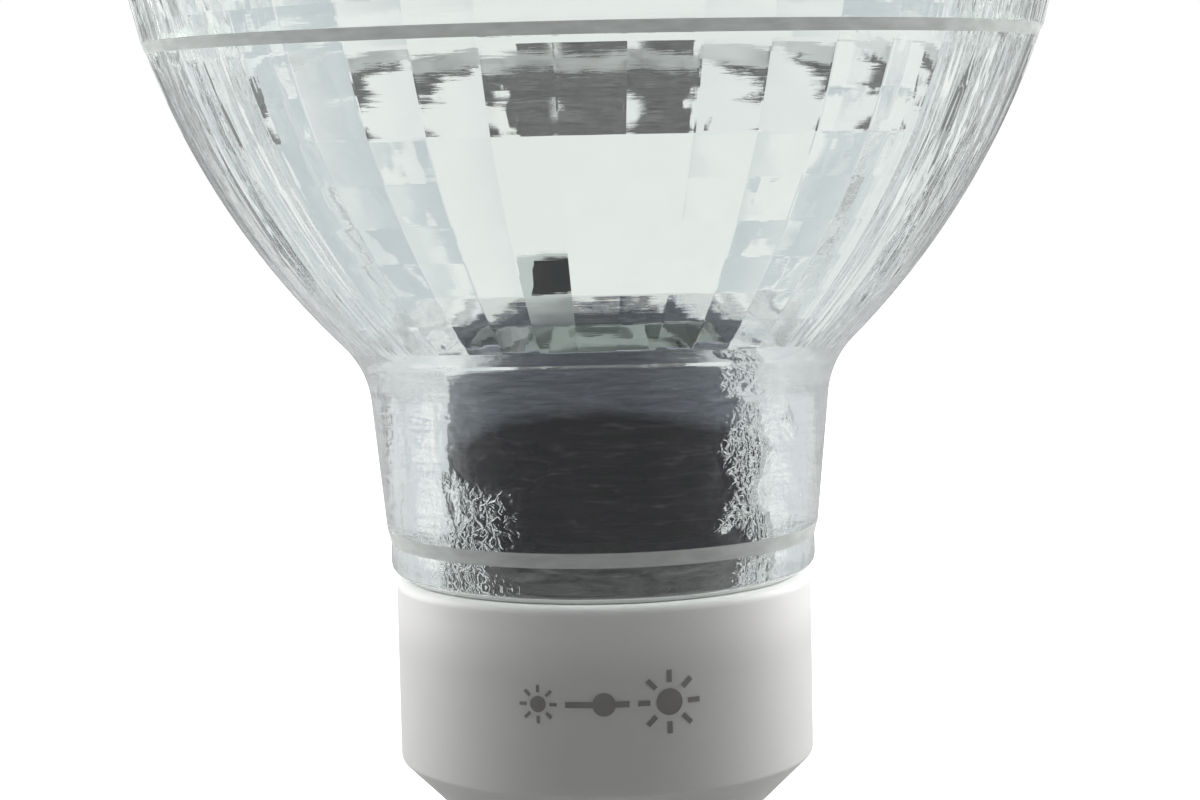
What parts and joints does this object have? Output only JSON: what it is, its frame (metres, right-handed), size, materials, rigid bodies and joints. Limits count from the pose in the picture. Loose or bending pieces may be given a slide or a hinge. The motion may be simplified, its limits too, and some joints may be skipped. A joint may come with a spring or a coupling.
{
  "type": "smart light bulb",
  "caption": "Reflector lamp: clear faceted glass cup on a white twist-lock base with two headed pins, with an LED board, a mains driver and a radio board inside.",
  "frame": {"origin": "centre of the base's flat bottom face, between the two contact pins", "axes": "+Z along the lamp's axis towards the front lens, +X through the centres of the two contact pins"},
  "size_m": [0.05, 0.05, 0.054],
  "materials": {
    "clear_glass": "clear pressed glass, faceted inside",
    "lens_plastic": "clear prismatic polycarbonate",
    "white_plastic": "satin, slightly translucent",
    "silicone": "cured white silicone",
    "nickel_plate": "nickel plated",
    "aluminium": "drawn",
    "steel": "plain",
    "sleeve_film": "dark crinkled insulating film",
    "white_board": "white solder mask",
    "green_board": "green solder mask",
    "black_package": "moulded epoxy",
    "phosphor": "warm phosphor",
    "pale_phosphor": "cool phosphor",
    "capacitor_film": "dark shrink film",
    "film_box": "epoxy box",
    "ferrite": "sintered",
    "copper_wire": "enamelled",
    "resistor_body": "coated",
    "red_insulation": "satin",
    "blue_insulation": "satin",
    "grey_pad": "filled silicone"
  },
  "bodies": {
    "root": {"glass_cup": "clear_glass", "front_lens": "lens_plastic", "lens_seal_ring": "silicone", "base_shell": "white_plastic", "contact_pin_live": "nickel_plate", "contact_pin_neutral": "nickel_plate", "adhesive_ring": "silicone", "led_board": "white_board", "thermal_pad": "grey_pad", "heat_spreader": "aluminium", "led_board_screw_1": "steel", "led_board_screw_2": "steel", "warm_led_1": "phosphor", "warm_led_2": "phosphor", "warm_led_3": "phosphor", "warm_led_4": "phosphor", "cool_led_1": "pale_phosphor", "cool_led_2": "pale_phosphor", "cool_led_3": "pale_phosphor", "colour_led": "black_package", "driver_sleeve": "sleeve_film", "driver_board": "green_board", "wifi_module_board": "white_board", "chip_antenna": "black_package", "wifi_shield_can": "steel", "module_header": "black_package", "input_capacitor": "capacitor_film", "output_capacitor": "capacitor_film", "inductor_core": "ferrite", "inductor_winding": "copper_wire", "film_capacitor": "film_box", "bridge_rectifier": "black_package", "driver_chip": "black_package", "fuse_resistor": "resistor_body", "pin_wire_live": "red_insulation", "pin_wire_neutral": "blue_insulation"}
  },
  "joints": []
}
